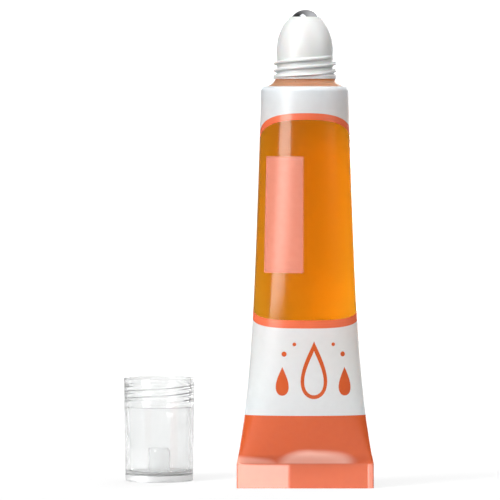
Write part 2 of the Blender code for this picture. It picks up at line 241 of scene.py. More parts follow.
def turned_mesh(name, outline, columns=COLUMNS):
    """A closed body of revolution about Z through a closed outline of (radius, height) points."""
    work = bmesh.new()
    rings = []
    for radius, height in outline:
        angles = [2 * math.pi * column / columns for column in range(columns)]
        rings.append([work.verts.new((radius * math.cos(a), radius * math.sin(a), height)) for a in angles])
    for index, ring in enumerate(rings):
        above = rings[(index + 1) % len(rings)]
        if outline[index][0] == outline[(index + 1) % len(rings)][0] == 0.0:
            continue
        for column in range(columns):
            after = (column + 1) % columns
            work.faces.new((ring[column], ring[after], above[after], above[column]))
    bmesh.ops.remove_doubles(work, verts=work.verts[:], dist=MERGE_DISTANCE)
    bmesh.ops.recalc_face_normals(work, faces=work.faces[:])
    mesh = bpy.data.meshes.new(name)
    work.to_mesh(mesh)
    work.free()
    return mesh


def mark_thread(mesh, low, high, inner, outer):
    """Marks the points of the wall between these heights and radii as the ones that carry the thread."""
    marks = mesh.attributes.new("threaded", "FLOAT", "POINT")
    for vertex, mark in zip(mesh.vertices, marks.data):
        radius = math.hypot(vertex.co.x, vertex.co.y)
        mark.value = float(low < vertex.co.z < high and inner < radius < outer)


# The screw thread as a rule on a turned wall: each ridge climbs the pitch once for every start in a turn,
# and fades at both ends.
thread = bpy.data.node_groups.new("screw_thread", "GeometryNodeTree")
thread.interface.new_socket("Wall", in_out="INPUT", socket_type="NodeSocketGeometry")
for size in (
    "Start height", "Start angle", "Pitch", "Starts", "Turns",
    "Ridge height", "Ridge foot", "Ridge crest", "Run out",
):
    thread.interface.new_socket(size, in_out="INPUT", socket_type="NodeSocketFloat")
thread.interface.new_socket("Material", in_out="INPUT", socket_type="NodeSocketMaterial")
thread.interface.new_socket("Threaded wall", in_out="OUTPUT", socket_type="NodeSocketGeometry")
given = add_node(thread, "NodeGroupInput").outputs
point = add_node(thread, "ShaderNodeSeparateXYZ", {0: add_node(thread, "GeometryNodeInputPosition")}).outputs
angle = add_node(thread, "ShaderNodeMath", {0: point["Y"], 1: point["X"]}, operation="ARCTAN2")
past_start = add_node(thread, "ShaderNodeMath", {0: angle, 1: given["Start angle"]}, operation="SUBTRACT")
turn_share = add_node(thread, "ShaderNodeMath", {0: past_start, 1: 2 * math.pi}, operation="DIVIDE")
turn_share = add_node(thread, "ShaderNodeMath", {0: turn_share, 1: 1.0, 2: 0.0}, operation="WRAP")
climb = add_node(thread, "ShaderNodeMath", {0: point["Z"], 1: given["Start height"]}, operation="SUBTRACT")
pitches = add_node(thread, "ShaderNodeMath", {0: climb, 1: given["Pitch"]}, operation="DIVIDE")
risen = add_node(thread, "ShaderNodeMath", {0: turn_share, 1: given["Starts"]}, operation="MULTIPLY")
along = add_node(thread, "ShaderNodeMath", {0: pitches, 1: risen}, operation="SUBTRACT")
nearest = add_node(thread, "ShaderNodeMath", {0: along}, operation="ROUND")
beside = add_node(thread, "ShaderNodeMath", {0: along, 1: nearest}, operation="SUBTRACT")
beside = add_node(thread, "ShaderNodeMath", {0: beside}, operation="ABSOLUTE")
beside = add_node(thread, "ShaderNodeMath", {0: beside, 1: given["Pitch"]}, operation="MULTIPLY")
flank = add_node(
    thread, "ShaderNodeMapRange",
    {"Value": beside, "From Min": given["Ridge foot"], "From Max": given["Ridge crest"]},
    interpolation_type="SMOOTHSTEP",
)
whole = add_node(thread, "ShaderNodeMath", {0: nearest, 1: given["Starts"]}, operation="DIVIDE")
wound = add_node(thread, "ShaderNodeMath", {0: whole, 1: turn_share}, operation="ADD")
unwound = add_node(thread, "ShaderNodeMath", {0: given["Turns"], 1: wound}, operation="SUBTRACT")
lift = given["Ridge height"]
for way in (wound, unwound):
    fade = add_node(
        thread, "ShaderNodeMapRange", {"Value": way, "From Max": given["Run out"]},
        interpolation_type="SMOOTHSTEP",
    )
    lift = add_node(thread, "ShaderNodeMath", {0: lift, 1: fade}, operation="MULTIPLY")
lift = add_node(thread, "ShaderNodeMath", {0: lift, 1: flank}, operation="MULTIPLY")
carries = add_node(thread, "GeometryNodeInputNamedAttribute", {"Name": "threaded"}, data_type="FLOAT")
lift = add_node(thread, "ShaderNodeMath", {0: lift, 1: carries}, operation="MULTIPLY")
outward = add_node(thread, "ShaderNodeCombineXYZ", {"X": point["X"], "Y": point["Y"]})
outward = add_node(thread, "ShaderNodeVectorMath", {0: outward}, operation="NORMALIZE")
outward = add_node(thread, "ShaderNodeVectorMath", {0: outward, "Scale": lift}, operation="SCALE")
moved = add_node(thread, "GeometryNodeSetPosition", {"Geometry": given["Wall"], "Offset": outward})
plain = add_node(thread, "GeometryNodeRealizeInstances", {"Geometry": moved})
finished = add_node(thread, "GeometryNodeSetMaterial", {"Geometry": plain, "Material": given["Material"]})
add_node(thread, "NodeGroupOutput", {0: finished})


def threaded_mesh(mesh, material, **sizes):
    """The turned mesh with its thread raised by the rule, as a plain mesh."""
    carrier = bpy.data.objects.new(mesh.name, mesh)
    bpy.context.scene.collection.objects.link(carrier)
    modifier = carrier.modifiers.new("screw_thread", "NODES")
    modifier.node_group = thread
    values = {name.replace("_", " ").capitalize(): value for name, value in sizes.items()}
    values["Material"] = material
    for socket in thread.interface.items_tree:
        if socket.name in values:
            modifier[socket.identifier] = values[socket.name]
    evaluated = carrier.evaluated_get(bpy.context.evaluated_depsgraph_get())
    made = bpy.data.meshes.new_from_object(evaluated)
    bpy.data.objects.remove(carrier)
    return made


housing_low, housing_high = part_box("roller_housing")
foot_z, lip_z, foot_radius = housing_low.z, housing_high.z, housing_high.x
thread_z = foot_z + FOOT_FLANGE
dome_foot_z = thread_z + THREAD_ZONE
dome_centre_z = dome_foot_z + DOME_STRAIGHT
socket_radius = ball_radius + SOCKET_CLEARANCE
housing_bore = THREAD_ROOT_RADIUS - HOUSING_WALL
lip_bore = socket_radius * math.cos(LIP_LATITUDE)
lip_foot_z = lip_z - LIP_HEIGHT
lip_root_radius = math.sqrt(socket_radius ** 2 - (lip_foot_z - ball_centre.z) ** 2) + LIP_ROOT_WALL
dome_top = (lip_root_radius + LIP_LEDGE, lip_foot_z - LIP_LEDGE_FALL)
dome_start = math.acos(dome_top[0] / DOME_RADIUS)
dome_reach = (dome_top[1] - dome_centre_z) / math.sin(dome_start)
dome = []
for step in range(DOME_ROWS + 1):
    angle = dome_start * (1 - step / DOME_ROWS)
    dome.append((DOME_RADIUS * math.cos(angle), dome_centre_z + dome_reach * math.sin(angle)))
ledge_z = foot_z + SEAT_BORE_HEIGHT
socket_foot_z = ball_centre.z - SOCKET_DEPTH
outline = softened([
    (lip_bore + LIP_EDGE, lip_z, EDGE_SOFTNESS),
    (lip_root_radius, lip_foot_z, EDGE_SOFTNESS / 2),
    *dome,
    (DOME_RADIUS, dome_foot_z, DOME_STRAIGHT),
    (THREAD_ROOT_RADIUS, dome_foot_z - DOME_STRAIGHT, DOME_STRAIGHT),
    (THREAD_ROOT_RADIUS, thread_z + FOOT_FLANGE, EDGE_SOFTNESS),
    (foot_radius, thread_z, 2 * EDGE_SOFTNESS),
    (foot_radius, foot_z - FOOT_GAP, EDGE_SOFTNESS),
    (housing_bore, foot_z - FOOT_GAP, EDGE_SOFTNESS),
    (housing_bore, ledge_z),
    (SEAT_BORE, ledge_z),
    (SEAT_BORE, socket_foot_z),
    (socket_radius, socket_foot_z),
    *arc((0.0, ball_centre.z), socket_radius, 0.0, LIP_LATITUDE, LIP_ROWS),
])
housing_mesh = turned_mesh("white_housing", divided(outline, THREAD_ROW))
mark_thread(
    housing_mesh, thread_z - FOOT_FLANGE / 2, dome_centre_z, THREAD_ROOT_RADIUS - THREAD_MARGIN,
    foot_radius + THREAD_MARGIN,
)

# White polypropylene, moulded in a polished tool: satin, milky, with a little light under the skin. The
# marks that the tool leaves are drawn coarser than they are, because they are too fine to show.
white, tree, shader = new_material(
    "white_polypropylene", "#CACAC9", Roughness=0.34, Subsurface_Weight=0.15, Subsurface_Scale=0.0012
)
place = add_node(tree, "ShaderNodeTexCoord").outputs["Object"]
skin = add_node(tree, "ShaderNodeTexNoise", {"Vector": place, "Scale": 1 / SKIN_GRAIN, "Detail": 3.0})
satin = add_node(tree, "ShaderNodeMapRange", {"Value": skin, "To Min": 0.30, "To Max": 0.38})
tree.links.new(satin.outputs[0], shader.inputs["Roughness"])
bump = add_node(tree, "ShaderNodeBump", {"Height": skin, "Strength": 0.12, "Distance": 0.00002})
tree.links.new(bump.outputs[0], shader.inputs["Normal"])

housing_mesh = threaded_mesh(
    housing_mesh, white, start_height=foot_z - HOUSING_THREAD_DROP, start_angle=0.0,
    pitch=THREAD_PITCH, starts=THREAD_STARTS, turns=HOUSING_TURNS, ridge_height=HOUSING_RIDGE,
    ridge_foot=RIDGE_FOOT, ridge_crest=RIDGE_CREST, run_out=RUN_OUT,
)
add_piece("white_housing", housing_mesh, "tube", "white_housing", "roller_housing")


# Shoulder: the clear head of the tube, injection moulded on to the end of the sleeve. Its cone and collar
# show the oil below the white housing, and its neck with a snap bead carries the housing and the seat.
SHOULDER_WALL = 0.0008
SKIRT_DEPTH = 0.0024
CONE_ANGLE = math.radians(22)
COLLAR_RADIUS = 0.0066
COLLAR_HEIGHT = 0.00096
COLLAR_TOP_RADIUS = 0.00635
COLLAR_FOOT_RADIUS = 0.0070
NECK_BORE = 0.0041
NECK_RADIUS = 0.0049
SNAP_BEAD = 0.00025
SNAP_BEAD_HEIGHT = 0.0008
SNAP_BEAD_RISE = 0.0014
RIM_ROUND = 0.00115
FILM_WALL = 0.00045
FIT_GAP = 0.0003
COLLAR_TOP_WALL = 0.0003
REBATE_ROWS = 6
HAZE_CLOUD = 0.00067
FACING_INWARD = -0.5

shoulder_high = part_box("tube_shoulder")[1]
sleeve_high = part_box("tube_sleeve")[1]
sleeve_z = sleeve_high.z
tube_radius = sleeve_high.y
rim_z = sleeve_z - RIM_ROUND
mouth_radius = tube_radius - RIM_ROUND
skirt_radius = shoulder_high.x
skirt_bore = skirt_radius - SHOULDER_WALL
cone_radius = mouth_radius - FIT_GAP
collar_bore = COLLAR_RADIUS - SHOULDER_WALL
slope = math.tan(CONE_ANGLE)
collar_z = sleeve_z + (cone_radius - COLLAR_RADIUS) * slope
collar_top_z = collar_z + COLLAR_HEIGHT
cavity_top_z = collar_top_z - COLLAR_TOP_WALL
skirt_z = rim_z - SKIRT_DEPTH
neck_top_z = shoulder_high.z
bead_z = collar_top_z + SNAP_BEAD_RISE
rebate = RIM_ROUND - FILM_WALL - FIT_GAP
cone_under_z = collar_z - SHOULDER_WALL
shoulder_outline = softened([
    (NECK_BORE, neck_top_z, EDGE_SOFTNESS),
    (NECK_RADIUS, neck_top_z, EDGE_SOFTNESS),
    (NECK_RADIUS, bead_z + SNAP_BEAD_HEIGHT),
    (NECK_RADIUS + SNAP_BEAD, bead_z + SNAP_BEAD_HEIGHT - SNAP_BEAD, EDGE_SOFTNESS),
    (NECK_RADIUS + SNAP_BEAD, bead_z + SNAP_BEAD, EDGE_SOFTNESS),
    (NECK_RADIUS, bead_z),
    (NECK_RADIUS, collar_top_z),
    (COLLAR_TOP_RADIUS, collar_top_z, EDGE_SOFTNESS),
    (COLLAR_FOOT_RADIUS, collar_z, 4 * EDGE_SOFTNESS),
    (cone_radius, sleeve_z, EDGE_SOFTNESS),
    (cone_radius, rim_z + rebate),
    *arc((mouth_radius, rim_z), rebate, math.pi / 2, 0.0, REBATE_ROWS),
    (skirt_radius, skirt_z, EDGE_SOFTNESS),
    (skirt_bore, skirt_z, EDGE_SOFTNESS),
    (skirt_bore, cone_under_z - (skirt_bore - collar_bore) * slope, 4 * EDGE_SOFTNESS),
    (collar_bore, cone_under_z, 2 * EDGE_SOFTNESS),
    (collar_bore, cavity_top_z, 2 * EDGE_SOFTNESS),
    (NECK_BORE, cavity_top_z),
])
shoulder_mesh = turned_mesh("clear_shoulder", shoulder_outline)

# Clarified polypropylene: see-through with a milky haze, warmed by the oil that it has taken up.
clarified, tree, shader = new_material(
    "clarified_polypropylene", "#F4D1B8", Roughness=0.30, IOR=1.5, Transmission_Weight=0.8
)
place = add_node(tree, "ShaderNodeTexCoord").outputs["Object"]
haze = add_node(tree, "ShaderNodeTexNoise", {"Vector": place, "Scale": 1 / HAZE_CLOUD, "Detail": 2.0})
haze_range = add_node(tree, "ShaderNodeMapRange", {"Value": haze, "To Min": 0.24, "To Max": 0.36})
tree.links.new(haze_range.outputs[0], shader.inputs["Roughness"])

# A wall that the oil wets bends no light there, because the oil's refractive index is close to the
# plastic's, so the wetted faces aren't drawn.
wetted, tree, shader = new_material("wetted_wall", "#FFFFFF", Alpha=0.0, Roughness=0.3)
shoulder_mesh.materials.append(clarified)
shoulder_mesh.materials.append(wetted)
for face in shoulder_mesh.polygons:
    radius = math.hypot(face.center.x, face.center.y)
    outwardness = (face.normal.x * face.center.x + face.normal.y * face.center.y) / radius
    under_the_cone = face.normal.z < FACING_INWARD and radius < skirt_bore
    if outwardness < FACING_INWARD or under_the_cone:
        face.material_index = 1
add_piece("clear_shoulder", shoulder_mesh, "tube", "clear_shoulder", "tube_shoulder")


# Sleeve: extruded polyethylene tube, clear film printed all round in white, coral and pink before it was
# filled. It is round at the shoulder, and its other end is pressed flat, welded and trimmed straight.
SEAL_HEIGHT = 0.0052
CREASE_HEIGHT = 0.0022
SLIT_HALF_DEPTH = 0.00025
LINEAR_TAPER_SHARE = 0.5
TAPER_POWER = 5
FILM_COLUMNS = 128
BODY_ROW = 0.0008
CREASE_ROW = 0.00022
SECTION_SAMPLES = 720
RIM_ROWS = 8
HALVINGS = 50

circumference = 2 * math.pi * tube_radius
half_round = circumference / 2
seal_half_width = sleeve_high.x
taper_top_z = skirt_z


def ellipse_perimeter(half_width, half_depth):
    ratio = ((half_width - half_depth) / (half_width + half_depth)) ** 2
    return math.pi * (half_width + half_depth) * (1 + 3 * ratio / (10 + math.sqrt(4 - 3 * ratio)))


def solved(rule, target, low, high):
    """Where a rising rule reaches its target, found by halving the range."""
    for _ in range(HALVINGS):
        middle = (low + high) / 2
        if rule(middle) < target:
            low = middle
        else:
            high = middle
    return (low + high) / 2


def half_width_at(z):
    """Half the sleeve's width: round at the shoulder, flaring faster and faster towards the seal."""
    flatness = min(max((taper_top_z - z) / (taper_top_z - SEAL_HEIGHT), 0.0), 1.0)
    flare = LINEAR_TAPER_SHARE * flatness + (1 - LINEAR_TAPER_SHARE) * flatness ** TAPER_POWER
    return tube_radius + (seal_half_width - tube_radius) * flare


def ellipse_half_depth_at(z):
    """Half the sleeve's depth: the film doesn't stretch, so every section keeps the same perimeter."""
    half_width = half_width_at(z)
    return solved(lambda depth: ellipse_perimeter(half_width, depth), circumference, 0.0, tube_radius)


def pressed_share_at(z):
    """1 on the seal, where the section is flat, and 0 above the crease, where it is an ellipse."""
    return (1 - min(max((z - SEAL_HEIGHT) / CREASE_HEIGHT, 0.0), 1.0)) ** 2


def half_depth_at(z):
    """Half the sleeve's depth between the ellipse above the crease and the two films of the seal."""
    pressed = pressed_share_at(z)
    return (1 - pressed) * ellipse_half_depth_at(z) + pressed * FILM_WALL


# The sections found so far, by height and inset.
sections = {}


def section_at(z, inset):
    """The film's section at a height: its points, and the share of the way round of each, back to back."""
    key = (round(z, 7), inset)
    if key not in sections:
        half_width, pressed = half_width_at(z), pressed_share_at(z)
        bulge = (1 - pressed) * ellipse_half_depth_at(z)
        depth = bulge + pressed * FILM_WALL
        turn = math.pi / 2 + 2 * math.pi * np.arange(SECTION_SAMPLES + 1) / SECTION_SAMPLES
        x = half_width * np.cos(turn)
        past_flat = np.maximum(np.abs(x) - (half_width - FILM_WALL), 0.0)
        flat = np.sqrt(np.maximum(FILM_WALL ** 2 - past_flat ** 2, 0.0)) * np.sign(np.sin(turn))
        y = bulge * np.sin(turn) + pressed * flat
        x *= (half_width - inset) / half_width
        y *= (depth - inset) / depth
        way = np.concatenate(([0.0], np.cumsum(np.hypot(np.diff(x), np.diff(y)))))
        sections[key] = (x, y, way / way[-1])
    return sections[key]


def film_point(along, z, inset=0.0):
    """Where a point of the flat film lies: along is the way round from the middle of the front."""
    x, y, way = section_at(z, inset)
    share = (along + half_round) / circumference
    return (float(np.interp(share, way, x)), float(np.interp(share, way, y)), z)


def film_heights(low, high):
    """Rows up the film, close together on the crease, where it bends most."""
    fine_top = SEAL_HEIGHT + 2 * CREASE_HEIGHT
    heights = []
    for start, end, row in ((low, fine_top, CREASE_ROW), (max(low, fine_top), high, BODY_ROW)):
        if end > start:
            count = math.ceil((end - start) / row)
            heights += [start + (end - start) * step / count for step in range(count)]
    return heights + [high]


# The print, laid out on the flat film in metres: along from the middle of the front, and height. The
# window's powers say how square its corners are, below and above. The panel has its sides, foot and top, a
# drop its place, half width, half height and line, which is thickest at the tip, and a dot its radius.
WINDOW_MIDDLE_Z = 0.05735
WINDOW_HALF_ALONG = 0.0215
WINDOW_HALF_HEIGHT = 0.02285
WINDOW_POWERS = (3.4, 2.4)
OUTLINE_TOP = 0.0014
OUTLINE_BOTTOM = 0.0017
PANEL = (-0.0097, -0.0005, 0.0463, 0.0710)
BAND_TOP_Z = 0.0158
DROP_SHAPE = 1.3
DROP_FULLNESS = 1.15
DROP_LINE_SINK = 0.7
DROP_LINE_SHORTENING = 1.6
DROPS = (
    (0.0018, 0.0256, 0.0034, 0.0062, 0.0009),
    (-0.0050, 0.0232, 0.0017, 0.0031, 0.0),
    (0.0086, 0.0232, 0.0017, 0.0031, 0.0),
)
DOTS = (
    (-0.0046, 0.0290, 0.00055),
    (-0.0024, 0.0311, 0.00040),
    (0.0060, 0.0311, 0.00040),
    (0.0082, 0.0290, 0.00055),
)


def window_loop(count=240, drawn_in=0.0):
    """The window's outline, wide and soft-cornered; drawn in, it is the inner edge of the coral line."""
    loop = []
    for step in range(count):
        turn = 2 * math.pi * step / count
        cosine, sine = math.cos(turn), math.sin(turn)
        power = WINDOW_POWERS[sine > 0]
        across = math.copysign(abs(cosine) ** (2 / power), cosine)
        up = math.copysign(abs(sine) ** (2 / power), sine)
        line = drawn_in * (OUTLINE_BOTTOM + (OUTLINE_TOP - OUTLINE_BOTTOM) * (1 + up) / 2)
        normal = Vector((
            math.copysign(abs(across) ** (power - 1), across) / WINDOW_HALF_ALONG,
            math.copysign(abs(up) ** (power - 1), up) / WINDOW_HALF_HEIGHT,
        )).normalized()
        loop.append((
            WINDOW_HALF_ALONG * across - line * normal.x,
            WINDOW_MIDDLE_Z + WINDOW_HALF_HEIGHT * up - line * normal.y,
        ))
    return loop


def drop_loop(along, z, half_width, half_height, count=48):
    """An oil drop, round below and drawn out to a tip above."""
    loop = []
    for step in range(count):
        turn = 2 * math.pi * step / count
        width = math.sin(turn) * math.sin(turn / 2) ** DROP_SHAPE
        loop.append((along + DROP_FULLNESS * half_width * width, z + half_height * math.cos(turn)))
    return loop


def round_loop(along, z, radius, count=20):
    angles = [2 * math.pi * step / count for step in range(count)]
    return [(along + radius * math.cos(angle), z + radius * math.sin(angle)) for angle in angles]


def inside(loop, along, z):
    """Whether a point of the flat film lies inside a closed loop."""
    crossings = 0
    for index, (here, here_z) in enumerate(loop):
        before, before_z = loop[index - 1]
        level = (here_z > z) != (before_z > z)
        if level and along < here + (z - here_z) * (before - here) / (before_z - here_z):
            crossings += 1
    return crossings % 2 == 1


FILM, WHITE, CORAL, PINK, LINE, WETTED = range(6)
left, right, low, high = PANEL
areas = [
    (window_loop(), LINE),
    (window_loop(drawn_in=1.0), FILM),
    ([(left, low), (right, low), (right, high), (left, high)], PINK),
]
for along, z, half_width, half_height, line in DROPS:
    areas.append((drop_loop(along, z, half_width, half_height), CORAL))
    if line:
        inner_half_height = half_height - DROP_LINE_SHORTENING * line
        inner = drop_loop(along, z - DROP_LINE_SINK * line, half_width - line, inner_half_height)
        areas.append((inner, WHITE))
for along, z, radius in DOTS:
    areas.append((round_loop(along, z, radius), CORAL))

# The flat film as points and the edges that its triangles keep: the borders, the band and the print.
# The triangles are found in millimetres, a scale that suits the tolerance of the search.
CLEAR_OF_PRINT = 0.00016
MILLIMETRES = 1000
FLAT_TOLERANCE = 1e-6

# The row nearest to the band's upper edge is moved on to it.
rows = film_heights(0.0, rim_z)
band_row = min(range(len(rows)), key=lambda row: abs(rows[row] - BAND_TOP_Z))
rows[band_row] = BAND_TOP_Z
column_step = circumference / FILM_COLUMNS
columns = [-half_round + column_step * column for column in range(FILM_COLUMNS + 1)]
points, kept_edges = [], []
for loop, _ in areas:
    first = len(points)
    fine = divided(loop, BODY_ROW)
    points += fine
    kept_edges += [(first + index, first + (index + 1) % len(fine)) for index in range(len(fine))]
drawn = np.array(points)
grid = {}
for row, z in enumerate(rows):
    for column, along in enumerate(columns):
        if np.min(np.hypot(drawn[:, 0] - along, drawn[:, 1] - z)) >= CLEAR_OF_PRINT:
            grid[row, column] = len(points)
            points.append((along, z))
for row in (0, band_row, len(rows) - 1):
    kept_edges += [(grid[row, column], grid[row, column + 1]) for column in range(FILM_COLUMNS)]
for column in (0, FILM_COLUMNS):
    kept_edges += [(grid[row, column], grid[row + 1, column]) for row in range(len(rows) - 1)]
in_millimetres = [Vector((MILLIMETRES * along, MILLIMETRES * z)) for along, z in points]
flat = delaunay_2d_cdt(in_millimetres, kept_edges, [], 0, FLAT_TOLERANCE)
flat_points = [(point.x / MILLIMETRES, point.y / MILLIMETRES) for point in flat[0]]

work = bmesh.new()
outer = [work.verts.new(film_point(along, z)) for along, z in flat_points]
boxes = []
for loop, _ in areas:
    alongs, heights = zip(*loop)
    boxes.append((min(alongs), max(alongs), min(heights), max(heights)))
for triangle in flat[2]:
    along = sum(flat_points[index][0] for index in triangle) / 3
    z = sum(flat_points[index][1] for index in triangle) / 3
    face = work.faces.new([outer[index] for index in triangle])
    face.material_index = CORAL if z < BAND_TOP_Z else WHITE
    for (loop, ink), (low_a, high_a, low_z, high_z) in zip(areas, boxes):
        if low_a < along < high_a and low_z < z < high_z and inside(loop, along, z):
            face.material_index = ink


def film_ring(z, inset=0.0):
    """One row of points round the film."""
    return [film_point(along, z, inset) for along in columns[:-1]]


def round_ring(radius, z):
    """The film's row at the shoulder, where it is round, brought to another radius and height."""
    return [(x * radius / tube_radius, y * radius / tube_radius, z) for x, y, _ in film_ring(rim_z)]


def lofted(work, rings):
    """Joins rings of points by rows of faces, and gives the rings' vertices and the rows."""
    vertex_rings = [[work.verts.new(point) for point in ring] for ring in rings]
    face_rows = []
    for lower, upper in zip(vertex_rings, vertex_rings[1:]):
        face_row = []
        for column in range(FILM_COLUMNS):
            after = (column + 1) % FILM_COLUMNS
            face_row.append(work.faces.new((lower[column], lower[after], upper[after], upper[column])))
        face_rows.append(face_row)
    return vertex_rings, face_rows


# The rolled rim, the inner wall and the two ends close the film to one body.
rim = arc((mouth_radius, rim_z), RIM_ROUND, 0.0, math.pi / 2, RIM_ROWS)
rim += arc((mouth_radius, rim_z), RIM_ROUND - FILM_WALL, math.pi / 2, 0.0, RIM_ROWS)
rings = [round_ring(radius, z) for radius, z in rim]
cavity_z = solved(half_depth_at, FILM_WALL + SLIT_HALF_DEPTH, SEAL_HEIGHT, taper_top_z)
rings += [film_ring(z, FILM_WALL) for z in reversed(film_heights(cavity_z, rim_z))]
vertex_rings, face_rows = lofted(work, rings)
for index, face_row in enumerate(face_rows):
    for face in face_row:
        face.material_index = WHITE if index <= RIM_ROWS else WETTED
bottom = [work.verts.new(point) for point in film_ring(0.0)]
work.faces.new(bottom).material_index = WHITE
work.faces.new(vertex_rings[-1]).material_index = WETTED
bmesh.ops.remove_doubles(work, verts=work.verts[:], dist=2 * MERGE_DISTANCE)
bmesh.ops.recalc_face_normals(work, faces=work.faces[:])
sleeve_mesh = bpy.data.meshes.new("printed_sleeve")
work.to_mesh(sleeve_mesh)
work.free()

# Low-density polyethylene film, clear and glossy. The inks lie on it in flat, even, slightly satin coats.
# A painted highlight over the crease has its place across and up, half width, half height and how pale it
# makes the ink. A turned part of the seal has its place across and half width.
FILM_WAVE = 0.00625
FILM_WAVE_DEPTH = 0.0001
INK_GRAIN = 0.00143
SEAL_EDGE = (0.0004, -0.0001)
CREASE_HIGHLIGHTS = (
    (0.0021, 0.0055, 0.0092, 0.0030, 0.55),
    (-0.0140, 0.0050, 0.0100, 0.0022, 0.34),
)
HIGHLIGHT_EDGE = (1.25, 0.8)
HIGHLIGHT_WANDER = 0.4
SEAL_PAINTED_HIGHLIGHT = 0.07
TURNED_PARTS = ((-0.0147, 0.0120), (0.0139, 0.0006))
TURNED_EDGE_SHARE = 0.9
TURNED_LEAN = (-0.34, 0.0, 0.17)

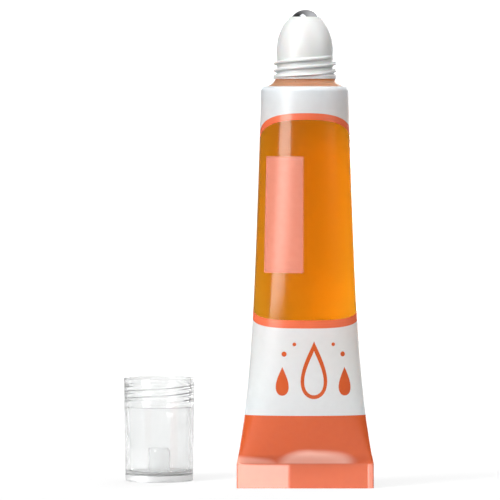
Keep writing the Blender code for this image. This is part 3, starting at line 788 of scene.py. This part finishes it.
film, tree, shader = new_material(
    "clear_polyethylene_film", "#FFFDF8", Roughness=0.15, IOR=1.42, Transmission_Weight=1.0
)
place = add_node(tree, "ShaderNodeTexCoord").outputs["Object"]
wave = add_node(tree, "ShaderNodeTexNoise", {"Vector": place, "Scale": 1 / FILM_WAVE, "Detail": 1.0})
bump = add_node(tree, "ShaderNodeBump", {"Height": wave, "Strength": 0.25, "Distance": FILM_WAVE_DEPTH})
tree.links.new(bump.outputs[0], shader.inputs["Normal"])
sleeve_mesh.materials.append(film)
for name, colour, shade, roughness, glow in (
    ("white_ink_on_film", "#E2ECF1", "#DAE4E9", 0.30, 0.33),
    ("coral_ink_on_film", "#BF5427", "#B94C22", 0.22, 0.0),
    ("pink_ink_on_film", "#E2937D", "#DC8871", 0.30, 0.25),
    ("line_ink_on_film", "#DC6A47", "#D66240", 0.24, 0.0),
):
    ink, tree, shader = new_material(name, colour, Roughness=roughness, IOR=1.5)
    place = add_node(tree, "ShaderNodeTexCoord").outputs["Object"]
    grain = add_node(tree, "ShaderNodeTexNoise", {"Vector": place, "Scale": 1 / INK_GRAIN, "Detail": 4.0})
    coat = add_node(tree, "ShaderNodeMix", {0: grain, 6: linear(colour), 7: linear(shade)}, data_type="RGBA")
    tree.links.new(coat.outputs[2], shader.inputs["Base Color"])
    wave = add_node(tree, "ShaderNodeTexNoise", {"Vector": place, "Scale": 1 / FILM_WAVE, "Detail": 1.0})
    bump = add_node(tree, "ShaderNodeBump", {"Height": wave, "Strength": 0.25, "Distance": FILM_WAVE_DEPTH})
    tree.links.new(bump.outputs[0], shader.inputs["Normal"])
    if glow:
        # A thin coat lets some of the light behind it through.
        through = add_node(tree, "ShaderNodeBsdfTranslucent", {"Color": coat.outputs[2]})
        both = add_node(tree, "ShaderNodeMixShader", {0: glow, 1: shader, 2: through})
        tree.links.new(both.outputs[0], tree.nodes["Material Output"].inputs["Surface"])
    if name.startswith("coral"):
        # Over the crease the film is bent hard; painted highlights lighten its coral ink there and over the
        # seal.
        painted_highlight = 0.0
        # Each patch of painted highlight over the crease mixes the coat towards pale pink, with a wandering
        # edge.
        for across, up, half_width, half_height, share in CREASE_HIGHLIGHTS:
            middle, spread = (across, 0.0, up), (1 / half_width, 0.0, 1 / half_height)
            off = add_node(tree, "ShaderNodeVectorMath", {0: place, 1: middle}, operation="SUBTRACT")
            off = add_node(tree, "ShaderNodeVectorMath", {0: off, 1: spread}, operation="MULTIPLY")
            reach = add_node(tree, "ShaderNodeVectorMath", {0: off}, operation="LENGTH").outputs["Value"]
            reach = add_node(
                tree, "ShaderNodeMath", {0: wave, 1: HIGHLIGHT_WANDER, 2: reach}, operation="MULTIPLY_ADD"
            )
            highlight_patch = add_node(
                tree, "ShaderNodeMapRange",
                {"Value": reach, "From Min": HIGHLIGHT_EDGE[0], "From Max": HIGHLIGHT_EDGE[1], "To Max": share},
                interpolation_type="SMOOTHSTEP",
            )
            painted_highlight = add_node(tree, "ShaderNodeMath", {0: painted_highlight, 1: highlight_patch}, operation="MAXIMUM")
        part = add_node(tree, "ShaderNodeSeparateXYZ", {0: place}).outputs
        high, low = SEAL_HEIGHT + SEAL_EDGE[0], SEAL_HEIGHT + SEAL_EDGE[1]
        seal_only = add_node(
            tree, "ShaderNodeMapRange", {"Value": part["Z"], "From Min": high, "From Max": low},
            interpolation_type="SMOOTHSTEP",
        )
        above_seal = add_node(tree, "ShaderNodeMath", {0: 1.0, 1: seal_only}, operation="SUBTRACT")
        painted_highlight = add_node(tree, "ShaderNodeMath", {0: painted_highlight, 1: above_seal}, operation="MULTIPLY")
        # The whole seal is also painted a little paler, as a painted highlight.
        painted_highlight = add_node(
            tree, "ShaderNodeMath", {0: seal_only, 1: SEAL_PAINTED_HIGHLIGHT, 2: painted_highlight}, operation="MULTIPLY_ADD"
        )
        # The painted highlights' pale pink, #F6CDBE.
        highlighted_coat = add_node(
            tree, "ShaderNodeMix", {0: painted_highlight, 6: coat.outputs[2], 7: linear("#F6CDBE")}, data_type="RGBA"
        )
        tree.links.new(highlighted_coat.outputs[2], shader.inputs["Base Color"])
        # The weld has cooled a little warped: parts of the seal are turned to the side and lean back.
        turned = 0.0
        for middle, half in TURNED_PARTS:
            off = add_node(tree, "ShaderNodeMath", {0: part["X"], 1: middle}, operation="SUBTRACT")
            off = add_node(tree, "ShaderNodeMath", {0: off}, operation="ABSOLUTE")
            off = add_node(
                tree, "ShaderNodeMapRange",
                {"Value": off, "From Min": half, "From Max": TURNED_EDGE_SHARE * half},
                interpolation_type="SMOOTHSTEP",
            )
            turned = add_node(tree, "ShaderNodeMath", {0: turned, 1: off}, operation="ADD")
        turned = add_node(tree, "ShaderNodeMath", {0: turned, 1: seal_only}, operation="MULTIPLY")
        lean = add_node(tree, "ShaderNodeVectorMath", {0: TURNED_LEAN, "Scale": turned}, operation="SCALE")
        leant = add_node(tree, "ShaderNodeVectorMath", {0: bump, 1: lean}, operation="ADD")
        leant = add_node(tree, "ShaderNodeVectorMath", {0: leant}, operation="NORMALIZE")
        tree.links.new(leant.outputs[0], shader.inputs["Normal"])
    sleeve_mesh.materials.append(ink)
sleeve_mesh.materials.append(wetted)
add_piece("printed_sleeve", sleeve_mesh, "tube", "printed_film", "tube_sleeve")


# Oil: the clear amber cuticle oil that fills the sleeve, the shoulder and the neck up to the seat. It wets
# every wall, so its surface lies a little inside theirs, with no film of air between.
WETTING = 0.00015

oil_heights = film_heights(cavity_z - WETTING, taper_top_z)
oil_rings = [film_ring(z, FILM_WALL - WETTING) for z in oil_heights]
step_z = cone_under_z - (skirt_bore - collar_bore) * slope
for radius, z in (
    (skirt_bore + WETTING, taper_top_z),
    (skirt_bore + WETTING, step_z + WETTING),
    (collar_bore + WETTING, cone_under_z + WETTING),
    (collar_bore + WETTING, cavity_top_z + WETTING),
    (NECK_BORE + WETTING, cavity_top_z + WETTING),
    (NECK_BORE + WETTING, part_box("ball_seat")[0].z - WETTING),
):
    oil_rings.append(round_ring(radius, z))
work = bmesh.new()
vertex_rings, _ = lofted(work, oil_rings)
work.faces.new(vertex_rings[0])
work.faces.new(vertex_rings[-1])
bmesh.ops.recalc_face_normals(work, faces=work.faces[:])
oil_mesh = bpy.data.meshes.new("amber_oil")
work.to_mesh(oil_mesh)
work.free()

# A blend of light seed oils, tinted amber: clear, and deeper in colour the more of it one looks through.
# Its skin bends no light, because the film outside it already does.
oil, tree, shader = new_material("amber_seed_oil", "#FFFFFF", Roughness=0.0, IOR=1.0, Transmission_Weight=1.0)
depth = add_node(tree, "ShaderNodeVolumeAbsorption", {"Color": linear("#FDEE76"), "Density": 460.0})
tree.links.new(depth.outputs[0], tree.nodes["Material Output"].inputs["Volume"])
oil_mesh.materials.append(oil)
add_piece("amber_oil", oil_mesh, "tube", "cuticle_oil", "oil_fill")


# Screw cap: clear polystyrene, injection moulded, standing on its closed end with its thread up. A ring
# boss inside its closed end presses on the ball when the cap is on, and keeps the oil in.
CAP_BASE_RADIUS = 0.0074
CAP_WALL = 0.0010
CAP_THREAD_WALL = 0.0008
CAP_THREAD_DEPTH = 0.0063
CAP_FLOOR = 0.0019
CAP_FLOOR_ROUND = 0.0007
CAP_FLOOR_ROWS = 8
CAP_EDGE_ROUND = 0.0004
CAP_EDGE_ROWS = 6
CAP_ROW = 0.001
BOSS_RADIUS = 0.0024
BOSS_WALL = 0.00045
BOSS_HEIGHT = 0.0053
CAP_RIDGE = 0.00020
CAP_RIDGE_FOOT = 0.00048
CAP_RIDGE_CREST = 0.00010
CAP_TURNS = 1.5
CAP_THREAD_START = 0.00080
CAP_THREAD_END = 0.0001
WALL_TOLERANCE = 0.00001
ETCHED_HEIGHT = 0.0017
CAP_FLOW = 0.00455

cap_low, cap_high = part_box("screw_cap")
cap_height, cap_rim_radius = cap_high.z, (cap_high.x - cap_low.x) / 2
cap_place = box_middle("screw_cap")
draft = (cap_rim_radius - CAP_BASE_RADIUS) / cap_height
thread_step_z = cap_height - CAP_THREAD_DEPTH
thread_bore = cap_rim_radius - CAP_THREAD_WALL
floor_bore = CAP_BASE_RADIUS + draft * CAP_FLOOR - CAP_WALL
inner_corner = (floor_bore - CAP_FLOOR_ROUND, CAP_FLOOR + CAP_FLOOR_ROUND)
base_corner = (CAP_BASE_RADIUS - CAP_EDGE_ROUND, CAP_EDGE_ROUND)
outline = softened([
    (0.0, CAP_FLOOR),
    (BOSS_RADIUS - BOSS_WALL, CAP_FLOOR, EDGE_SOFTNESS),
    (BOSS_RADIUS - BOSS_WALL, CAP_FLOOR + BOSS_HEIGHT, 2 * EDGE_SOFTNESS),
    (BOSS_RADIUS, CAP_FLOOR + BOSS_HEIGHT, 2 * EDGE_SOFTNESS),
    (BOSS_RADIUS, CAP_FLOOR, EDGE_SOFTNESS),
    *arc(inner_corner, CAP_FLOOR_ROUND, -math.pi / 2, 0.0, CAP_FLOOR_ROWS),
    (CAP_BASE_RADIUS + draft * thread_step_z - CAP_WALL, thread_step_z, EDGE_SOFTNESS),
    (thread_bore, thread_step_z, EDGE_SOFTNESS),
    (thread_bore, cap_height, 2 * EDGE_SOFTNESS),
    (cap_rim_radius, cap_height, 2 * EDGE_SOFTNESS),
    *arc(base_corner, CAP_EDGE_ROUND, 0.0, -math.pi / 2, CAP_EDGE_ROWS),
    (0.0, 0.0),
])

# The wall has fine rows where it carries the thread, and coarse ones elsewhere.
cap_outline = []
for point, after in zip(outline, outline[1:] + outline[:1]):
    in_thread_zone = min(point[1], after[1]) > thread_step_z - THREAD_MARGIN
    longest = THREAD_ROW if in_thread_zone and point[0] < thread_bore + WALL_TOLERANCE else CAP_ROW
    parts = max(math.ceil(math.dist(point, after) / longest), 1)
    if point[0] == after[0] == 0.0:
        parts = 1
    for part in range(parts):
        share = part / parts
        radius, z = point[0] + (after[0] - point[0]) * share, point[1] + (after[1] - point[1]) * share
        cap_outline.append((radius, z))
cap_mesh = turned_mesh("clear_cap", cap_outline)
mark_thread(
    cap_mesh, thread_step_z + CAP_THREAD_END, cap_height - 2 * CAP_THREAD_END,
    thread_bore - 2 * WALL_TOLERANCE, thread_bore + 2 * WALL_TOLERANCE,
)

# Crystal polystyrene: water clear and glossy, with a high refractive index that darkens its edges.
crystal, tree, shader = new_material(
    "crystal_polystyrene", "#FCFDFD", Roughness=0.03, IOR=1.57, Transmission_Weight=0.90
)
place = add_node(tree, "ShaderNodeTexCoord").outputs["Object"]
flow = add_node(tree, "ShaderNodeTexNoise", {"Vector": place, "Scale": 1 / CAP_FLOW, "Detail": 1.0})
bump = add_node(tree, "ShaderNodeBump", {"Height": flow, "Strength": 0.2, "Distance": 0.00006})
tree.links.new(bump.outputs[0], shader.inputs["Normal"])
depth = add_node(tree, "ShaderNodeVolumeAbsorption", {"Color": linear("#BBBBBC"), "Density": 16.0})
tree.links.new(depth.outputs[0], tree.nodes["Material Output"].inputs["Volume"])
cap_mesh = threaded_mesh(
    cap_mesh, crystal, start_height=thread_step_z + CAP_THREAD_START, start_angle=math.pi / 2,
    pitch=THREAD_PITCH, starts=THREAD_STARTS, turns=CAP_TURNS, ridge_height=-CAP_RIDGE,
    ridge_foot=CAP_RIDGE_FOOT, ridge_crest=CAP_RIDGE_CREST, run_out=RUN_OUT,
)

# Its foot is etched matt, so that it doesn't show scratches.
etched, tree, shader = new_material(
    "etched_polystyrene", "#EEEFEF", Roughness=0.65, IOR=1.57, Transmission_Weight=0.72
)
cap_mesh.materials.append(etched)
for face in cap_mesh.polygons:
    if face.center.z < ETCHED_HEIGHT:
        face.material_index = 1
cap_mesh.transform(Matrix.Translation((cap_place.x, cap_place.y, 0.0)))
add_piece("clear_cap", cap_mesh, "cap", "clear_cap", "screw_cap")


# Studio: softboxes all round, a soft room, and a white paper sweep that lights the pieces from below and
# behind. In the sweep's place the camera sees a pale round floor and wall, which glow a little, like a light
# table, so that shadows stay soft.
SWEEP_NEAR_HALF_WIDTH = 0.10
SWEEP_SPREAD = 0.26
SWEEP_FRONT = -0.06
SWEEP_BACK = 2.6
SWEEP_CURVE = 0.5
CURVE_ROWS = 16
SWEEP_TOP = 0.9
SWEEP_GLOW = (0.20, 0.56)
GLOW_RISE = (0.2, 1.6)
SURROUND_RADIUS = 3.0
SURROUND_TOP = 2.4
SURROUND_DROP = 0.00002
SURROUND_THICKNESS = 0.01
SURROUND_GLOW = (0.64, 1.03)
ROOM_LEFT = 0.05
ROOM_RIGHT = 0.06
ROOM_REACH = (-0.2, 0.8)
CEILING_LEFT = 0.08
CEILING_RIGHT = 0.90
CEILING_REACH = (-0.45, 0.45)
CEILING_EDGE = (0.15, 0.6)
LIGHT_TARGET = (0.0, 0.0, 0.05)


def glowing_paper(name, colour, near, far):
    """Matt paper that glows, and more so with the distance from the pieces."""
    paper, tree, shader = new_material(name, colour, Roughness=0.8)
    shader.inputs["Emission Color"].default_value = linear("#FFFFFF")
    place = add_node(tree, "ShaderNodeTexCoord").outputs["Object"]
    away = add_node(tree, "ShaderNodeVectorMath", {0: place}, operation="LENGTH").outputs["Value"]
    strength = add_node(
        tree, "ShaderNodeMapRange",
        {"Value": away, "From Min": GLOW_RISE[0], "From Max": GLOW_RISE[1], "To Min": near, "To Max": far},
    )
    tree.links.new(strength.outputs[0], shader.inputs["Emission Strength"])
    return paper


path = [(SWEEP_FRONT, 0.0)]
path += arc((SWEEP_BACK - SWEEP_CURVE, SWEEP_CURVE), SWEEP_CURVE, -math.pi / 2, 0.0, CURVE_ROWS)
path.append((SWEEP_BACK, SWEEP_TOP))
sweep_mesh = bpy.data.meshes.new("paper_sweep")
sweep_points = []
for side in (-1, 1):
    for y, z in path:
        half_width = SWEEP_NEAR_HALF_WIDTH + SWEEP_SPREAD * (y - SWEEP_FRONT)
        sweep_points.append((side * half_width, y, z))
count = len(path)
faces = [(index, index + count, index + count + 1, index + 1) for index in range(count - 1)]
sweep_mesh.from_pydata(sweep_points, [], faces)
sweep_mesh.shade_smooth()
sweep_mesh.materials.append(glowing_paper("white_paper", "#BCBCBC", *SWEEP_GLOW))
sweep = bpy.data.objects.new("paper_sweep", sweep_mesh)
bpy.context.scene.collection.objects.link(sweep)

# The sweep is seen by light, in reflections and through the clear pieces, but not by the camera.
sweep.visible_camera = False
sweep.visible_shadow = False

bend = arc((SURROUND_RADIUS - SWEEP_CURVE, SWEEP_CURVE), SWEEP_CURVE, -math.pi / 2, 0.0, CURVE_ROWS)
surround_outline = [(0.0, 0.0), *bend, (SURROUND_RADIUS, SURROUND_TOP)]
surround_outline += [(radius + SURROUND_THICKNESS, z) for radius, z in reversed(surround_outline[1:])]
surround_outline.append((0.0, -SURROUND_THICKNESS))
surround_mesh = turned_mesh("pale_surround", [(radius, z - SURROUND_DROP) for radius, z in surround_outline])
surround_mesh.shade_smooth()
surround_mesh.materials.append(glowing_paper("lit_paper", "#B4B4B4", *SURROUND_GLOW))
surround = bpy.data.objects.new("pale_surround", surround_mesh)
bpy.context.scene.collection.objects.link(surround)

# The floor and wall are seen by the camera and through the clear pieces, and light nothing else.
surround.visible_diffuse = False
surround.visible_glossy = False
surround.visible_shadow = False

world = bpy.data.worlds.new("soft_room")
bpy.context.scene.world = world
world.use_nodes = True
tree = world.node_tree
way = add_node(tree, "ShaderNodeTexCoord").outputs["Generated"]
way = add_node(tree, "ShaderNodeSeparateXYZ", {0: way}).outputs
low, high = CEILING_EDGE
above = add_node(tree, "ShaderNodeMapRange", {"Value": way["Z"], "From Min": low, "From Max": high})
left, right = CEILING_REACH
ceiling = add_node(
    tree, "ShaderNodeMapRange",
    {"Value": way["X"], "From Min": left, "From Max": right, "To Min": CEILING_LEFT, "To Max": CEILING_RIGHT},
)
left, right = ROOM_REACH
walls = add_node(
    tree, "ShaderNodeMapRange",
    {"Value": way["X"], "From Min": left, "From Max": right, "To Min": ROOM_LEFT, "To Max": ROOM_RIGHT},
)
room = add_node(tree, "ShaderNodeMix", {0: above, 2: walls, 3: ceiling})
tree.links.new(room.outputs[0], tree.nodes["Background"].inputs["Strength"])
tree.nodes["Background"].inputs["Color"].default_value = linear("#FFFFFF")

# Each softbox stands at an azimuth from the front, a height and a distance. It has a width and a height of
# its own, a radiance, an angle that its light fans out in, and may shed light or only be reflected: the
# strip is a card for its reflection alone.
for name, azimuth, height, distance, width, tall, radiance, fan, sheds in (
    ("key_softbox", -44.0, 0.75, 0.9, 0.34, 1.0, 3.9, 100.0, True),
    ("strip_softbox", -50.0, 0.08, 0.4, 0.21, 0.16, 9.5, 180.0, False),
    ("overhead_softbox", -60.0, 0.95, 0.22, 0.50, 0.32, 1.6, 180.0, True),
    ("rim_softbox", 158.0, 0.22, 1.1, 0.36, 0.5, 6.2, 180.0, True),
    ("front_softbox", -20.0, 0.5, 1.2, 0.8, 0.8, 3.7, 180.0, True),
    ("right_softbox", 62.0, 0.5, 1.0, 0.6, 0.9, 2.6, 180.0, True),
    ("left_softbox", -85.0, 0.6, 1.0, 0.6, 0.9, 2.0, 180.0, True),
):
    light_data = bpy.data.lights.new(name, "AREA")
    light_data.shape = "RECTANGLE"
    light_data.size = width
    light_data.size_y = tall
    light_data.energy = radiance * math.pi * width * tall
    light_data.spread = math.radians(fan)
    light = bpy.data.objects.new(name, light_data)
    bpy.context.scene.collection.objects.link(light)
    light.visible_diffuse = sheds
    turn = math.radians(azimuth)
    light.location = (distance * math.sin(turn), -distance * math.cos(turn), height)
    to_tube = Vector(LIGHT_TARGET) - light.location
    light.rotation_euler = to_tube.to_track_quat("-Z", "Y").to_euler()
